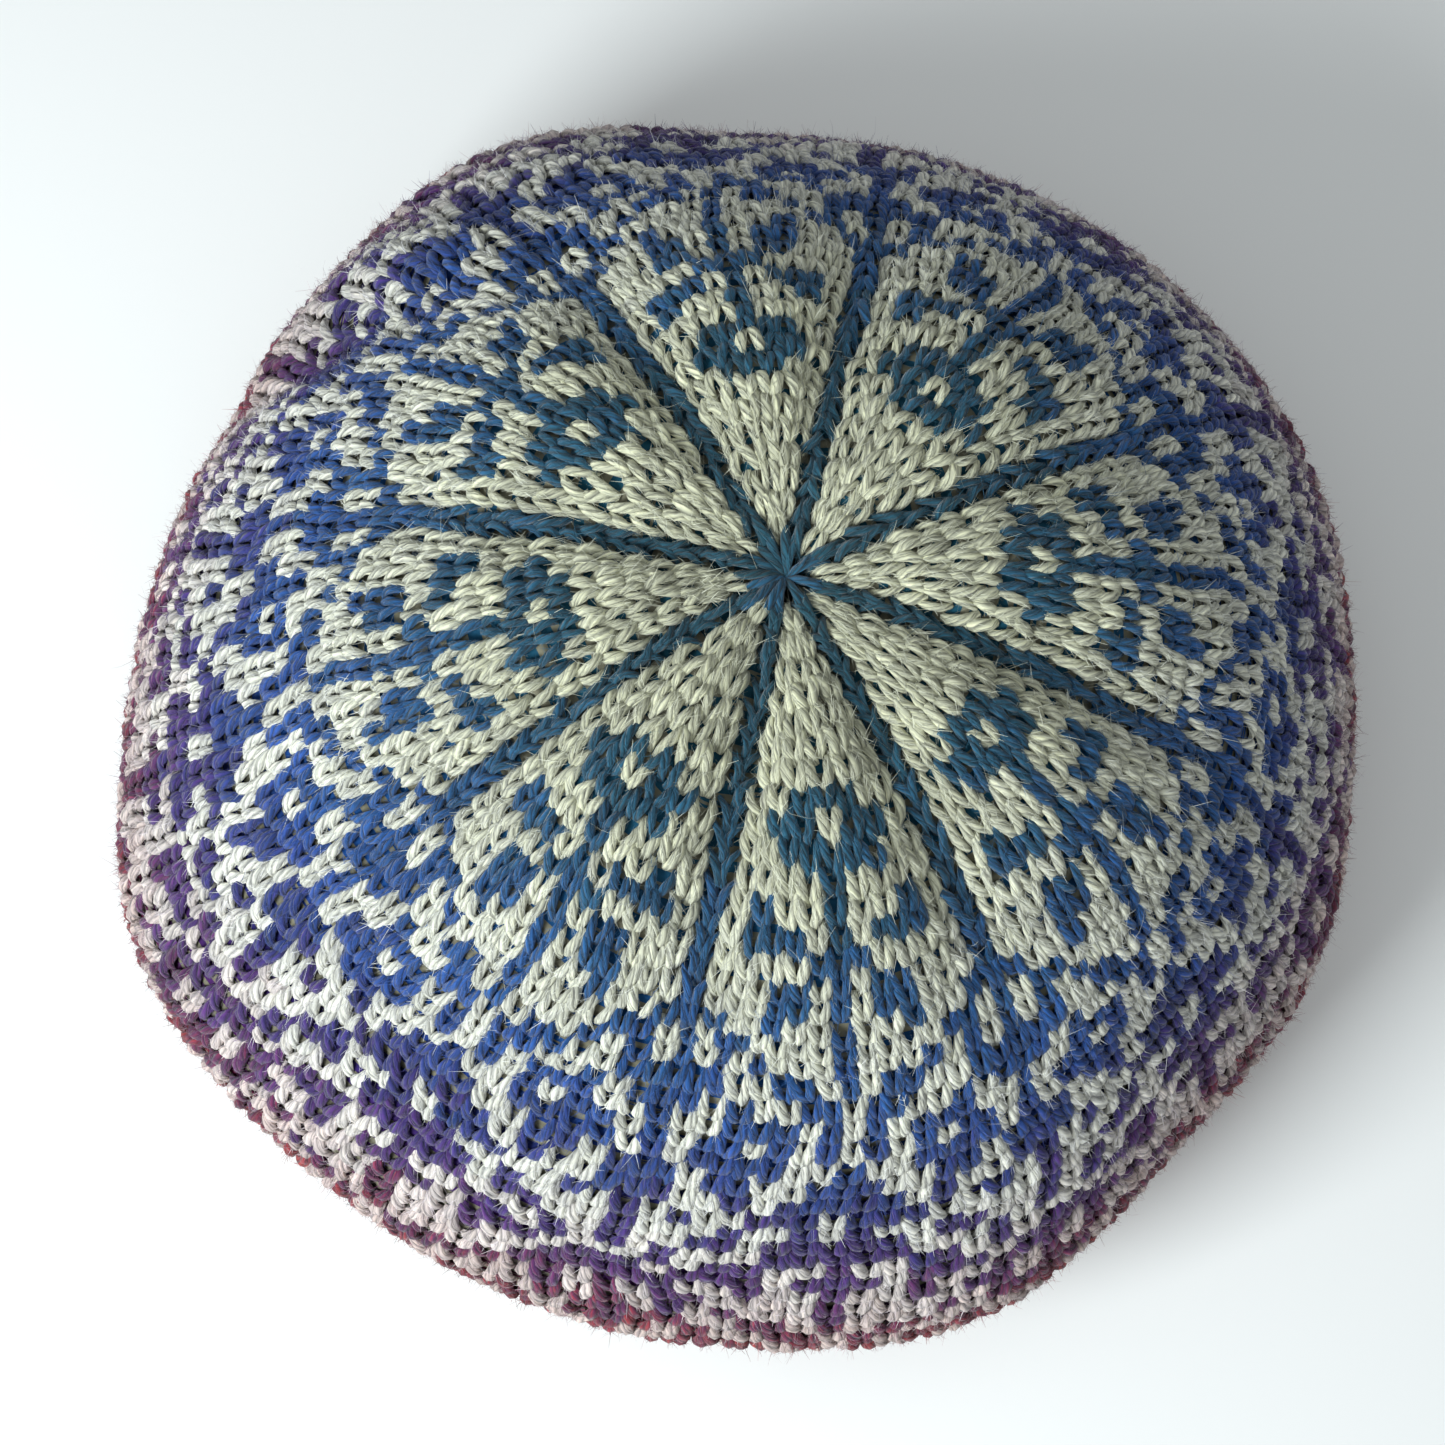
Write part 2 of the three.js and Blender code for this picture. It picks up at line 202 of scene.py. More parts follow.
def cloth_point(turns, rounds):
    """Points of the cloth's outer face, in millimetres from the middle of the band."""
    turns, rounds = np.broadcast_arrays(np.asarray(turns, float), np.asarray(rounds, float))
    bearings = bearing_at(turns)
    angles = np.radians(bearings)
    slope_out = along_sections(RADIUS, rounds + 0.5) - along_sections(RADIUS, rounds - 0.5)
    slope_up = along_sections(HEIGHT, rounds + 0.5) - along_sections(HEIGHT, rounds - 0.5)
    slope = np.hypot(slope_out, slope_up)
    across = turns - np.floor(turns)
    crest = 1 - np.abs(2 * across - 1) ** CREST_POWER
    push = crest * along_sections(PUFF, rounds) * WEDGE_PUFF + fold_push(bearings, rounds)
    reaches = np.array(SPINE_REACHES)
    wedge = np.floor(turns).astype(int) % WEDGES
    ease = across * across * (3 - 2 * across)
    spread = reaches[wedge] + (reaches[(wedge + 1) % WEDGES] - reaches[wedge]) * ease
    share = 1 + (outline_at(bearings) - 1) * along_sections(UNEVEN, rounds)
    share = share * (1 + (spread - 1) * along_sections(SPREAD, rounds))
    radius = along_sections(RADIUS, rounds) * share - push * slope_up / slope
    height = along_sections(HEIGHT, rounds) + push * slope_out / slope
    x = radius * np.sin(angles) + CROWN_SHIFT_RIGHT * along_sections(RIGHT, rounds)
    y = radius * np.cos(angles) + CROWN_SHIFT_BACK * along_sections(BACK, rounds)
    return np.stack([x, y, height], axis=-1)


def unit(vectors):
    """The same directions with length one."""
    return vectors / np.maximum(np.linalg.norm(vectors, axis=-1, keepdims=True), 1e-9)


END_MARGIN = 0.3
SMALL_TURN = 0.02
SMALL_ROUND = 0.2


def cloth_normal(turns, rounds):
    """Which way the cloth faces, from two small steps on it."""
    rounds = np.clip(rounds, END_MARGIN, LAST_ROUND - END_MARGIN)
    across = cloth_point(turns + SMALL_TURN, rounds) - cloth_point(turns - SMALL_TURN, rounds)
    outward = cloth_point(turns, rounds + SMALL_ROUND) - cloth_point(turns, rounds - SMALL_ROUND)
    return unit(np.cross(across, outward))


WIDEST_ROUND = TOP_SECTIONS[-1][0]
widest = cloth_point(np.linspace(0, WEDGES, 200), WIDEST_ROUND)
print("widest round:", (widest.max(axis=0) - widest.min(axis=0)).round(1), "mm")

# %% [markdown]
# ## How the stitches are laid out
#
# Sixteen stitches fill a wedge from the feet of the spines to the band, 128 in a round. Above the
# feet the real knitter decreases at the spines, so a wedge loses stitches at its sides while the
# ones in the middle run on. Counting columns from the wedge's middle gives that: a column keeps
# its distance from the middle until the spine swallows it.

# %% Columns and rounds
STITCHES_PER_WEDGE = 16
HALF_WEDGE = STITCHES_PER_WEDGE // 2
SPINE_ROUND = 18
STITCHES_AT_CENTRE = 1.0
STITCHES_AT_SPINE_FEET = 15.0
SPINE_WIDTH = 1.3


def stitches_in_wedge(number):
    """How many stitch widths a wedge is wide in a round, with its share of the spines."""
    if number > SPINE_ROUND:
        return STITCHES_PER_WEDGE
    return STITCHES_AT_CENTRE + (STITCHES_AT_SPINE_FEET - STITCHES_AT_CENTRE) * number / SPINE_ROUND


def columns_of_round(number):
    """Column numbers from the wedge's middle, and the width of one as a share of the wedge."""
    width = stitches_in_wedge(number)
    if number > SPINE_ROUND:
        return list(range(1 - HALF_WEDGE, HALF_WEDGE)), 1 / width
    room = (width - SPINE_WIDTH) / 2
    last = int(max(room, 0))
    return list(range(-last, last + 1)), room / (last + 0.5) / width


# Rows are equally tall, but the profile's rounds are not, so this table says where each row lies.
ROW_PLACES = (
    # row, round
    (0, 0.0), (18, 18.1), (20, 20.0), (28, 30.8), (34, 36.9), (50, 54.2),
)
LAST_ROW = ROW_PLACES[-1][0]


def row_place(number):
    """Where a knitted row lies, in rounds of the surface."""
    rows, places = np.array(ROW_PLACES).T
    return float(np.interp(number, rows, places))


print("columns by round:", {n: len(columns_of_round(n)[0]) for n in (2, 6, 10, 14, 18, 30)})

# %% [markdown]
# ## The pattern
#
# A knitter reads the pattern from a chart: one row for each round, one letter for each stitch. The
# pattern is a net of lines with a tulip between two flowers in each mesh. It repeats every
# sixteen stitches and every sixteen rounds, and both halves of a repeat mirror each other, so
# nine stitches of each row are enough, from a spine to the middle of a wedge. The crown has rows
# of its own, because its wedges narrow.

# %% The charts, x for the coloured yarn and . for cream
# The crown's rows, from the wedge's middle out to the spine.
CROWN_CHART = {
    9: "xx.......",
    10: ".xx......",
    11: "xxx......",
    12: "x........",
    13: "x..x.....",
    14: "x.xxx....",
    15: "xx.......",
    16: "x.xx.....",
    17: "x.xx....x",
}
# The net's rows, from a spine to the wedge's middle.
NET_CHART = [
    "xxx..x..x",
    "x.xx....x",
    "x.x.x...x",
    "xxx..xx.x",
    "xx.x..xx.",
    "x..xxx.x.",
    "x.xx.x.x.",
    "x.xxxx..x",
    "xx.xx..xx",
    "xx..x.xxx",
    "x.x..xxx.",
    "x...x..x.",
    "x..xx.xxx",
    "x.x...xxx",
    "..x.xx..x",
    "xx.xxx.xx",
]


def is_coloured(number, column):
    """Whether the stitch in this row and column takes the coloured yarn."""
    from_middle = abs(column)
    if number < SPINE_ROUND:
        return number in CROWN_CHART and CROWN_CHART[number][from_middle] == "x"
    row = NET_CHART[(number - SPINE_ROUND) % len(NET_CHART)]
    return row[HALF_WEDGE - from_middle] == "x"


for number in range(min(CROWN_CHART), LAST_ROW + 1):
    marks = ["x" if is_coloured(number, c) else "." for c in range(-HALF_WEDGE, HALF_WEDGE + 1)]
    print(number, "".join(marks))

# %% [markdown]
# ## One stitch
#
# Seen from the right side, a knit stitch is a V: two legs of yarn that come up through the stitch
# below, lean apart and go under again at the top. Only the legs show, so only they are made, each
# as an open gutter of yarn with its edges turned down into the cloth. A leg's middle line is given
# in stitch widths across, rounds along and millimetres above the cloth, and the surface turns that
# into places. All legs of a round are computed together as arrays, which takes seconds for the hat.
# Single stitches could be copied by an array modifier instead, but then none could differ.

# %% Yarn legs as arrays of points and faces
RINGS_PER_LEG = 6
POINTS_PER_RING = 5
LEG_PLACES = np.linspace(0, 1, RINGS_PER_LEG)
GUTTER_HALF_ANGLE = math.radians(118)
TWIST_LENGTH = 11.0
FLATTENING = 0.74
rng = np.random.default_rng(8)


class Yarns:
    """Yarn legs collected as arrays: points, how far round and along the yarn, colour and kind."""

    def __init__(self):
        self.points, self.around, self.along = [], [], []
        self.run, self.shade, self.coloured = [], [], []
        self.centres, self.sides, self.ups, self.radii = [], [], [], []

    def add(self, centres, normals, radii, run, shade, coloured):
        """Sweep a gutter along each row of centres. Arrays have a row for each leg."""
        legs, rings, _ = centres.shape
        tangents = unit(np.gradient(centres, axis=1))
        sides = unit(np.cross(tangents, normals))
        ups = np.cross(sides, tangents)
        self.centres.append(centres)
        self.sides.append(sides)
        self.ups.append(ups)
        self.radii.append(radii)
        angles = np.linspace(-GUTTER_HALF_ANGLE, GUTTER_HALF_ANGLE, POINTS_PER_RING)
        reach = radii[:, :, None, None]
        across = sides[:, :, None, :] * np.sin(angles)[:, None]
        upward = ups[:, :, None, :] * np.cos(angles)[:, None] * FLATTENING
        ring = across + upward
        steps = np.linalg.norm(np.diff(centres, axis=1), axis=-1)
        walked = np.concatenate([np.zeros((legs, 1)), np.cumsum(steps, axis=1)], axis=1)
        along = walked / TWIST_LENGTH + rng.random((legs, 1))
        whole = (legs, rings, POINTS_PER_RING)
        self.points.append((centres[:, :, None, :] + ring * reach).reshape(legs, -1, 3))
        self.around.append(np.broadcast_to(angles / math.tau, whole).reshape(legs, -1))
        self.along.append(np.broadcast_to(along[:, :, None], whole).reshape(legs, -1))
        self.run.append(run)
        self.shade.append(shade)
        self.coloured.append(coloured)

    def count(self):
        """How many legs there are."""
        return sum(len(part) for part in self.run)


def arch(places, fullness=0.8):
    """Zero at both ends of a leg and one in its middle."""
    return np.sin(math.pi * places) ** fullness


# %% The middle lines of a round's legs
FULL_PULL_ROUND = 20
WAVES = (
    # waves round the hat, radians a round, phase, share of a wedge sideways, rounds outward
    (3, 0.31, 1.0, 0.011, 0.15),
    (5, -0.47, 2.1, 0.008, -0.2),
    (8, 0.66, 4.0, 0.007, 0.16),
    (13, -0.9, 0.4, 0.006, 0.12),
)


def pulled_about(turns, rounds):
    """The same places after the soft cloth has been stretched a little here and there."""
    growing = np.clip(rounds / FULL_PULL_ROUND, 0, 1)
    sideways = np.zeros_like(turns)
    outward = np.zeros_like(turns)
    for waves, rate, phase, reach, shift in WAVES:
        angle = math.tau * waves * turns / WEDGES + rate * rounds + phase
        sideways += reach * growing * np.sin(angle)
        outward += shift * growing * np.cos(angle)
    return turns + sideways, rounds + outward


FOOT_SWAY = 0.1
LEAN_POWER = 0.85
LEG_SINK = 1.05
FIRST_ROUND = 0.25
# How far one leg strays from the other: shares, rounds, stitch widths and millimetres.
LEG_SPREAD_STRAY = 0.14
LEG_SLIP_STRAY = 0.09
LEG_SKEW_STRAY = 0.07
LEG_WOBBLE = 0.07


def stitch_legs(turns, rounds, widths, foot, top, spread, rise):
    """Middle lines of both legs of many stitches, with the cloth's direction at each point.

    foot and top are in rounds from the stitch's own round, spread is in stitch widths and
    rise in millimetres. Each is an array with a value for each stitch.
    """
    s = LEG_PLACES[None, :]
    count = len(turns)
    lift = rise[:, None] * arch(s)
    centres, normals = [], []
    for side in (-1, 1):
        own_spread = spread[:, None] * (1 + LEG_SPREAD_STRAY * rng.standard_normal((count, 1)))
        own_slip = LEG_SLIP_STRAY * rng.standard_normal((count, 1))
        sway = FOOT_SWAY + (own_spread - FOOT_SWAY) * s**LEAN_POWER
        sway = side * sway + LEG_SKEW_STRAY * rng.standard_normal((count, 1)) * (s - 0.5)
        along = own_slip + foot[:, None] + (top - foot)[:, None] * s
        turn = turns[:, None] + sway * widths[:, None]
        turn, number = pulled_about(turn, rounds[:, None] + along)
        number = np.maximum(number, FIRST_ROUND)
        normal = cloth_normal(turn, number)
        wobble = LEG_WOBBLE * rng.standard_normal((count, RINGS_PER_LEG, 3))
        centres.append(cloth_point(turn, number) + normal * (lift - LEG_SINK)[:, :, None] + wobble)
        normals.append(normal)
    return np.concatenate(centres), np.concatenate(normals)


# %% Turn the arrays into one mesh object
def quad_grid(legs, rings, per_ring):
    """Corner numbers of the faces of many gutters, one after another."""
    ring, place = np.meshgrid(np.arange(rings - 1), np.arange(per_ring - 1), indexing="ij")
    first = (ring * per_ring + place).reshape(-1)
    quad = np.stack([first, first + 1, first + per_ring + 1, first + per_ring], axis=-1)
    starts = np.arange(legs) * rings * per_ring
    return (starts[:, None, None] + quad[None]).reshape(-1, 4)


def ring_quads(count, columns):
    """Corner numbers for a loop of rings, each with the same number of columns."""
    ring, column = np.meshgrid(np.arange(count), np.arange(columns), indexing="ij")
    below = (ring + 1) % count
    beside = (column + 1) % columns
    corners = (ring, column), (ring, beside), (below, beside), (below, column)
    return np.stack([r * columns + c for r, c in corners], axis=-1).reshape(-1, 4)


def mesh_object(name, points, quads, floats, uv, slots, materials):
    """A smooth mesh in metres from arrays, with its attributes and its materials."""
    mesh = bpy.data.meshes.new(name)
    offset = np.array([band_middle[0], band_middle[1], 0.0])
    mesh.vertices.add(len(points))
    mesh.vertices.foreach_set("co", (points * MM + offset).astype(np.float32).ravel())
    mesh.loops.add(quads.size)
    mesh.loops.foreach_set("vertex_index", quads.astype(np.int32).ravel())
    mesh.polygons.add(len(quads))
    mesh.polygons.foreach_set("loop_start", np.arange(0, quads.size, 4, dtype=np.int32))
    mesh.update(calc_edges=True)
    for label, values in floats.items():
        layer = mesh.attributes.new(label, "FLOAT", "POINT")
        layer.data.foreach_set("value", values.astype(np.float32))
    layer = mesh.uv_layers.new(name="yarn")
    layer.data.foreach_set("uv", uv[quads.ravel()].astype(np.float32).ravel())
    for material in materials:
        mesh.materials.append(material)
    mesh.polygons.foreach_set("material_index", slots.astype(np.int32))
    mesh.polygons.foreach_set("use_smooth", np.ones(len(quads), dtype=bool))
    mesh.update()
    piece = bpy.data.objects.new(name, mesh)
    bpy.context.scene.collection.objects.link(piece)
    print(name, "triangles:", 2 * len(quads))
    return piece


def yarn_object(name, yarns):
    """One object from collected legs: slot 0 is cream wool, slot 1 the coloured yarn."""
    points = np.concatenate(yarns.points)
    legs, per_leg, _ = points.shape
    quads = quad_grid(legs, RINGS_PER_LEG, POINTS_PER_RING)
    uv = np.stack([np.concatenate(yarns.around), np.concatenate(yarns.along)], axis=-1)
    floats = {
        "colour_run": np.repeat(np.concatenate(yarns.run), per_leg),
        "shade": np.repeat(np.concatenate(yarns.shade), per_leg),
    }
    slots = np.repeat(np.concatenate(yarns.coloured).astype(int), len(quads) // legs)
    points, uv = points.reshape(-1, 3), uv.reshape(-1, 2)
    return mesh_object(name, points, quads, floats, uv, slots, (CREAM_WOOL, DYED_WOOL))


# %% [markdown]
# ## The two yarns
#
# Both yarns are spun wool, loosely twisted. Its strands show as slanting ridges about a millimetre
# and a half apart, with grooves between them that take painted shade, and fine fibres along them.
# An image of yarn could be laid on each leg, but a sine across the twist and stretched noise give
# the same ridges and never repeat. The dyed yarn takes its colour from its place in the dye run,
# here the round it is knitted in, and wanders a little to both sides of it.

# %% Colour and node helpers
def linear(code):
    """An sRGB hex colour as linear values with alpha."""
    parts = [int(code[i : i + 2], 16) / 255 for i in (1, 3, 5)]
    return (*[c / 12.92 if c <= 0.04045 else ((c + 0.055) / 1.055) ** 2.4 for c in parts], 1.0)


def add_node(tree, kind, settings=None, inputs=None):
    """A node with its settings. Each input is a value, or the socket that feeds it."""
    node = tree.nodes.new(kind)
    for key, value in (settings or {}).items():
        setattr(node, key, value)
    for key, value in (inputs or {}).items():
        if isinstance(value, bpy.types.NodeSocket):
            tree.links.new(value, node.inputs[key])
        else:
            node.inputs[key].default_value = value
    return node


def new_material(name):
    """An empty material, its node tree and its shader."""
    material = bpy.data.materials.new(name)
    material.use_nodes = True
    tree = material.node_tree
    return material, tree, tree.nodes["Principled BSDF"]


MATHS = "ShaderNodeMath"
ADD, SUBTRACT, MULTIPLY, DIVIDE = (
    {"operation": word} for word in ("ADD", "SUBTRACT", "MULTIPLY", "DIVIDE")
)
# The mix node's colour sockets have the same names as its others, so they go by number.
MIX_SHARE, MIX_FIRST, MIX_SECOND, MIX_RESULT = 0, 6, 7, 2

# %% Runs of colour
DYE_RUN = (
    # round, colour
    (0, "#235361"),
    (5, "#225264"),
    (9, "#22556a"),
    (12, "#245874"),
    (17, "#225587"),
    (20, "#20528d"),
    (25, "#224d94"),
    (29, "#2a3b7e"),
    (33, "#3e2c70"),
    (37, "#522a68"),
    (40, "#622851"),
    (42, "#7a283a"),
    (45, "#94302e"),
    (56, "#882b29"),
)
# The cream is darker and yellower in the crown; the darkening there is painted shade. It takes a
# red haze of fibres near the rim.
CREAM_AND_CROWN_SHADE_RUN = (
    # round, colour
    # The crown's first rounds are darker: painted shade.
    (0, "#ebecd4"),
    (11, "#edeed8"),
    (21, "#f4f5ee"),
    (32, "#f4f3f3"),
    (37, "#ecdfe4"),
    (41, "#e2cccf"),
    (56, "#dcc2be"),
)


def knitted_round(tree):
    """The round that a stitch is knitted in, which its mesh stores."""
    return add_node(tree, "ShaderNodeAttribute", {"attribute_name": "colour_run"}).outputs["Fac"]


def run_colour(tree, place, run):
    """The colour at a place in a run of colours, counted in rounds."""
    last = run[-1][0]
    share = add_node(tree, MATHS, DIVIDE, {0: place, 1: float(last)}).outputs[0]
    ramp = add_node(tree, "ShaderNodeValToRGB", inputs={"Fac": share})
    while len(ramp.color_ramp.elements) < len(run):
        ramp.color_ramp.elements.new(1.0)
    for element, (number, code) in zip(ramp.color_ramp.elements, run):
        element.position = number / last
        element.color = linear(code)
    return ramp.outputs["Color"]


# %% Spun wool
# The yarn measures about 6.4 mm round, and its strands lie 1.6 mm apart.
YARN_GIRTH = 6.4
STRANDS = round(YARN_GIRTH / 1.6)
STRAND_STRAY = 0.3
STRAND_DEPTH = 0.3 * MM
RIDGE_FULLNESS = 0.6
# Single fibres are 0.03 mm thick and too fine to show, so they are drawn as bundles 0.58 mm
# thick and, with 3.5 in one 11 mm turn of the twist, about 3 mm long.
FIBRES_ROUND_YARN = round(YARN_GIRTH / 0.58)
FIBRE_BREAKS = 3.5
FIBRE_CONTRAST = 3.0
FIBRE_DARKENING = -0.45
FIBRE_HEIGHT = 1.8
LEG_VARIETY = 50.0


def spun_wool(name, base_colour, painted_groove_brightness, sheen):
    """Wool yarn: base_colour(tree, fibres) gives its colour, with painted shade in the grooves."""
    material, tree, shader = new_material(name)
    shade = add_node(tree, "ShaderNodeAttribute", {"attribute_name": "shade"}).outputs["Fac"]
    uv = add_node(tree, "ShaderNodeUVMap", {"uv_map": "yarn"}).outputs["UV"]
    split = add_node(tree, "ShaderNodeSeparateXYZ", inputs={"Vector": uv})
    along = split.outputs["Y"]
    place = add_node(tree, MATHS, ADD, {0: split.outputs["X"], 1: along}).outputs[0]
    # Fibres lie along the twist, so their noise is stretched that way, and differs in each leg.
    along_fibre = add_node(
        tree,
        "ShaderNodeCombineXYZ",
        inputs={
            "X": add_node(tree, MATHS, MULTIPLY, {0: place, 1: FIBRES_ROUND_YARN}).outputs[0],
            "Y": add_node(tree, MATHS, MULTIPLY, {0: along, 1: FIBRE_BREAKS}).outputs[0],
            "Z": add_node(tree, MATHS, MULTIPLY, {0: shade, 1: LEG_VARIETY}).outputs[0],
        },
    ).outputs["Vector"]
    fibres = add_node(
        tree,
        "ShaderNodeTexNoise",
        inputs={"Vector": along_fibre, "Scale": 1.0, "Detail": 3.0, "Roughness": 0.6},
    ).outputs["Fac"]
    # Strands are the arches of a sine across the twist.
    stray = add_node(tree, MATHS, MULTIPLY, {0: fibres, 1: STRAND_STRAY}).outputs[0]
    strayed = add_node(tree, MATHS, ADD, {0: place, 1: stray}).outputs[0]
    angle = add_node(tree, MATHS, MULTIPLY, {0: strayed, 1: math.pi * STRANDS}).outputs[0]
    wave = add_node(tree, MATHS, {"operation": "SINE"}, {0: angle}).outputs[0]
    arches = add_node(tree, MATHS, {"operation": "ABSOLUTE"}, {0: wave}).outputs[0]
    ridge = add_node(tree, MATHS, {"operation": "POWER"}, {0: arches, 1: RIDGE_FULLNESS}).outputs[0]
    # Painted shade darkens the colour in each groove, and each fibre and each leg has its own tone.
    above_groove = add_node(tree, MATHS, MULTIPLY, {0: ridge, 1: 1 - painted_groove_brightness}).outputs[0]
    depth = add_node(tree, MATHS, ADD, {0: above_groove, 1: painted_groove_brightness}).outputs[0]
    contrast = add_node(tree, MATHS, MULTIPLY, {0: fibres, 1: FIBRE_CONTRAST}).outputs[0]
    tone = add_node(tree, MATHS, ADD, {0: contrast, 1: FIBRE_DARKENING}).outputs[0]
    deep_tone = add_node(tree, MATHS, MULTIPLY, {0: depth, 1: tone}).outputs[0]
    # So light is the painted groove shade times the fibres' and the leg's own random tones.
    light = add_node(tree, MATHS, MULTIPLY, {0: deep_tone, 1: shade}).outputs[0]
    colour = add_node(
        tree,
        "ShaderNodeVectorMath",
        {"operation": "SCALE"},
        {0: base_colour(tree, fibres), "Scale": light},
    ).outputs["Vector"]
    fibre_height = add_node(tree, MATHS, MULTIPLY, {0: fibres, 1: FIBRE_HEIGHT}).outputs[0]
    height = add_node(tree, MATHS, ADD, {0: ridge, 1: fibre_height}).outputs[0]
    bump = add_node(
        tree,
        "ShaderNodeBump",
        inputs={"Strength": 0.9, "Distance": STRAND_DEPTH, "Height": height},
    ).outputs["Normal"]
    tree.links.new(colour, shader.inputs["Base Color"])
    tree.links.new(bump, shader.inputs["Normal"])
    shader.inputs["Roughness"].default_value = 0.85
    shader.inputs["IOR"].default_value = 1.54
    shader.inputs["Specular IOR Level"].default_value = 0.25
    shader.inputs["Sheen Weight"].default_value = sheen
    shader.inputs["Sheen Roughness"].default_value = 0.5
    return material


# %% The cream yarn and the dyed yarn
DYE_WANDER = 9.0


def cream_colour(tree, fibres):
    """Undyed wool that is darker and yellower in some fibres."""
    own = run_colour(tree, knitted_round(tree), CREAM_AND_CROWN_SHADE_RUN)
    settings = {"data_type": "RGBA", "blend_type": "MULTIPLY"}
    inputs = {MIX_SHARE: fibres, MIX_FIRST: own, MIX_SECOND: linear("#c2bfa4")}
    return add_node(tree, "ShaderNodeMix", settings, inputs).outputs[MIX_RESULT]


def dyed_colour(tree, fibres):
    """The dyed yarn, which runs from teal to brick red and wanders a little on the way."""
    off_middle = add_node(tree, MATHS, SUBTRACT, {0: fibres, 1: 0.5}).outputs[0]
    wander = add_node(tree, MATHS, MULTIPLY, {0: off_middle, 1: DYE_WANDER}).outputs[0]
    place = add_node(tree, MATHS, ADD, {0: knitted_round(tree), 1: wander}).outputs[0]
    return run_colour(tree, place, DYE_RUN)


# Undyed sheep's wool, spun and plied: matt, because its scales scatter light, with soft painted
# shade in its grooves, since light passes into pale fibres, and a faint pale haze at the edges
# from fibre ends.
CREAM_WOOL = spun_wool("spun cream wool", cream_colour, painted_groove_brightness=0.5, sheen=0.2)
# The same wool dyed in a long run before it was plied: the dye swallows light, so its grooves
# take deeper painted shade and its haze stands out more.
DYED_WOOL = spun_wool("spun dyed wool", dyed_colour, painted_groove_brightness=0.35, sheen=0.25)
print("yarns:", CREAM_WOOL.name, "and", DYED_WOOL.name)

# %% [markdown]
# ## Knit the crown and the body
#
# Every round is knitted in turn. No hand-knitted stitch is like the next, so each one gets its
# own small differences, always from the same seed. The spines are drawn as wide V stitches,
# as two stitches are always taken together there. Below their feet a plain stitch takes the
# spine's place between two wedges.

# %% The stitches' sizes
# Rises and yarn radii are in millimetres, spreads in stitch widths.
PLAIN_RISE = 1.3
PLAIN_SPREAD = 0.46
SPINE_RISE = 2.5
SPINE_SPREAD = 0.55
SPINE_YARN = 0.9
SPINE_LENGTH_SHARE = 1.25
LEG_BEYOND_ROW = 1.25
LEG_PER_ROW = 1.05
FOOT_SHARE = 0.42
YARN_PER_WIDTH = 0.23
THINNEST_YARN = 0.68
THICKEST_YARN = 1.22
THIN_END = 0.68
TAPER_FULLNESS = 0.6
# The cream yarn is the plumper of the two, so the pattern's lines are finer than its ground.
CREAM_YARN_SHARE = 1.04
DYED_YARN_SHARE = 0.93


def round_height(place):
    """Millimetres of cloth in one round of the surface, in the middle of a wedge."""
    step = cloth_point(0.5, place + 0.5) - cloth_point(0.5, place - 0.5)
    return float(np.linalg.norm(step))


def stitch_width_mm(number):
    """How wide one stitch is in the middle of a wedge, in millimetres."""
    _, width = columns_of_round(number)
    place = row_place(number)
    step = cloth_point(0.5 + width / 2, place) - cloth_point(0.5 - width / 2, place)
    return float(np.linalg.norm(step))


print("stitch widths in mm:", {n: round(stitch_width_mm(n), 1) for n in (4, 10, 18, 30, 42)})

# %% One round of stitches
# How uneven the knitting is: places in rounds and stitch widths, the rest as shares.
ROUND_STRAY = 0.07
TURN_STRAY = 0.06
LENGTH_STRAY = 0.1
SPREAD_STRAY = 0.08
RISE_STRAY = 0.15
YARN_STRAY = 0.06
RING_STRAY = 0.05
DYE_STRAY = 1.0
SHADE_RANGE = 0.3


def uneven(count, share):
    """Numbers close to one, for the small differences of hand knitting."""
    return 1 + share * np.clip(rng.standard_normal(count), -2, 2)


def knit_stitches(yarns, turns, number, widths, coloured, leg_length, spread, radius, rise):
    """Add one round's stitches to the collection."""
    count = len(turns)
    place = row_place(number)
    rounds = place + ROUND_STRAY * rng.standard_normal(count)
    length = leg_length / round_height(place) * uneven(count, LENGTH_STRAY)
    centres, normals = stitch_legs(
        turns + TURN_STRAY * widths * rng.standard_normal(count),
        rounds,
        widths,
        FOOT_SHARE * length,
        (FOOT_SHARE - 1) * length,
        spread * uneven(count, SPREAD_STRAY),
        rise * uneven(count, RISE_STRAY),
    )
    taper = THIN_END + (1 - THIN_END) * arch(LEG_PLACES, TAPER_FULLNESS)
    yarn_share = np.where(coloured, DYED_YARN_SHARE, CREAM_YARN_SHARE)
    radii = radius * (np.tile(yarn_share, 2) * uneven(2 * count, YARN_STRAY))[:, None] * taper
    radii = radii * (1 + RING_STRAY * rng.standard_normal(radii.shape))
    run = np.clip(place + DYE_STRAY * rng.standard_normal(count), 0, DYE_RUN[-1][0])
    shade = 1 - SHADE_RANGE * rng.random(count)
    both_legs = (np.concatenate([values, values]) for values in (run, shade, coloured))
    yarns.add(centres, normals, radii, *both_legs)


